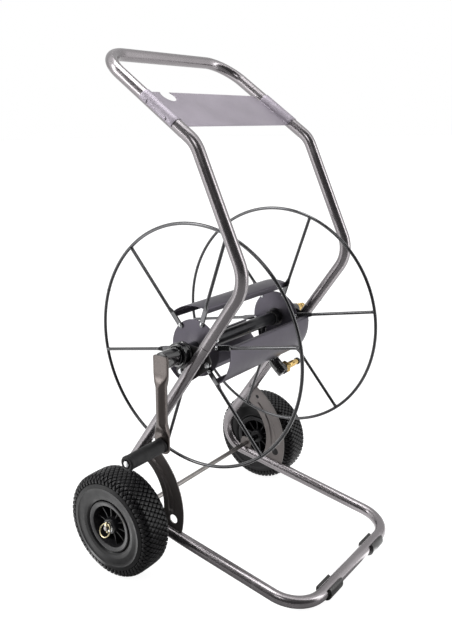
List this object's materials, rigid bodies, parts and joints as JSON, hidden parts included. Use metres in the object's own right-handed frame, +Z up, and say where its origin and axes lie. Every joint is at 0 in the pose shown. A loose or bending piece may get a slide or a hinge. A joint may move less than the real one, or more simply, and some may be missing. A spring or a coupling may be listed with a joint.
{
  "type": "garden hose reel cart",
  "caption": "Two-wheeled garden hose reel cart: bent tube frame with push handle and tool tray, wire-ring reel with a sheet drum, side crank, brass hose fittings and chunky rubber wheels.",
  "frame": {"origin": "bottom centre of the whole cart in its rest pose, on the floor", "axes": "+Z up, -Y towards the front bar, +Y towards the handle and wheels, -X the crank side, +X the water inlet side"},
  "size_m": [0.7702, 0.6334, 1.2083],
  "materials": {
    "frame_paint": "dark silver metallic, glossy",
    "plate_black": "black, semi-gloss",
    "tray_satin": "grey, satin",
    "drum_satin": "dark grey, satin",
    "wire_dark": "near black, semi-gloss",
    "pipe_dark": "dark grey, glossy",
    "black_plastic": "black, moulded",
    "rim_plastic": "black, moulded",
    "bushing_plastic": "dark grey",
    "tyre": "black rubber",
    "foot_plastic": "black",
    "hand_grip": "black, smooth",
    "crank_paint": "dark brownish grey, satin",
    "zinc": "bright zinc",
    "axle_steel": "bright steel",
    "yellow_zinc": "yellow-passivated zinc",
    "brass": "turned brass"
  },
  "bodies": {
    "frame": {"axle_lug_crank_side": "frame_paint", "axle_lug_inlet_side": "frame_paint", "axle_spacer_crank_side": "black_plastic", "axle_spacer_inlet_side": "black_plastic", "axle_washer_crank_side": "zinc", "axle_washer_inlet_side": "zinc", "bearing_bolts_crank_side": "zinc", "bearing_bolts_inlet_side": "zinc", "bearing_collar_crank_side": "black_plastic", "bearing_collar_inlet_side": "black_plastic", "bearing_plate_crank_side": "plate_black", "bearing_plate_inlet_side": "plate_black", "foot_crank_side": "foot_plastic", "foot_inlet_side": "foot_plastic", "gusset_crank_side": "frame_paint", "gusset_inlet_side": "frame_paint", "handle_tube": "frame_paint", "joint_screws": "zinc", "linch_pin_crank_side": "yellow_zinc", "linch_pin_inlet_side": "yellow_zinc", "lower_frame_tube": "frame_paint", "tool_tray": "tray_satin", "tray_rivets": "tray_satin", "wheel_axle": "axle_steel"},
    "reel": {"reel_pipe": "pipe_dark", "crank_boss": "black_plastic", "crank_arm": "crank_paint", "grip_bolt": "zinc", "grip_nut": "zinc", "outlet_elbow": "black_plastic", "outlet_hose_tail": "brass", "outlet_hose_ring": "black_plastic", "pipe_stop_ring": "black_plastic", "drum_sheet_upper": "drum_satin", "drum_sheet_front": "drum_satin", "drum_sheet_lower": "drum_satin", "reel_ring_crank_side": "wire_dark", "reel_spokes_crank_side": "wire_dark", "spoke_rivets_crank_side": "zinc", "hub_disc_crank_side": "drum_satin", "pipe_flange_crank_side": "black_plastic", "reel_ring_inlet_side": "wire_dark", "reel_spokes_inlet_side": "wire_dark", "spoke_rivets_inlet_side": "zinc", "hub_disc_inlet_side": "drum_satin", "pipe_flange_inlet_side": "black_plastic"},
    "grip": {"hand_grip": "hand_grip"},
    "inlet": {"inlet_swivel": "black_plastic", "inlet_connector": "brass"},
    "wheel_crank_side": {"tyre_crank_side": "tyre", "rim_crank_side": "rim_plastic", "wheel_bushing_crank_side": "bushing_plastic"},
    "pin_ring_crank_side": {"linch_ring_crank_side": "yellow_zinc"},
    "wheel_inlet_side": {"tyre_inlet_side": "tyre", "rim_inlet_side": "rim_plastic", "wheel_bushing_inlet_side": "bushing_plastic"},
    "pin_ring_inlet_side": {"linch_ring_inlet_side": "yellow_zinc"}
  },
  "joints": [
    {"name": "reel_spin", "type": "hinge", "parent": "frame", "child": "reel", "pos_m": [0.0205, 0.0282, 0.5489], "axis": [1, 0, 0], "continuous": true},
    {"name": "grip_spin", "type": "hinge", "parent": "reel", "child": "grip", "pos_m": [-0.3295, 0.03333, 0.35297], "axis": [1, 0, 0], "continuous": true},
    {"name": "inlet_swivel_spin", "type": "hinge", "parent": "frame", "child": "inlet", "pos_m": [0.2785, 0.0282, 0.5489], "axis": [1, 0, 0], "continuous": true},
    {"name": "wheel_spin_crank_side", "type": "hinge", "parent": "frame", "child": "wheel_crank_side", "pos_m": [-0.2885, 0.1639, 0.13], "axis": [1, 0, 0], "continuous": true},
    {"name": "pin_ring_flip_crank_side", "type": "hinge", "parent": "frame", "child": "pin_ring_crank_side", "pos_m": [-0.3295, 0.1639, 0.1405], "axis": [0, 1, 0], "range_deg": [-25, 135]},
    {"name": "wheel_spin_inlet_side", "type": "hinge", "parent": "frame", "child": "wheel_inlet_side", "pos_m": [0.3295, 0.1639, 0.13], "axis": [1, 0, 0], "continuous": true},
    {"name": "pin_ring_flip_inlet_side", "type": "hinge", "parent": "frame", "child": "pin_ring_inlet_side", "pos_m": [0.3705, 0.1639, 0.1405], "axis": [0, -1, 0], "range_deg": [-25, 135]}
  ]
}
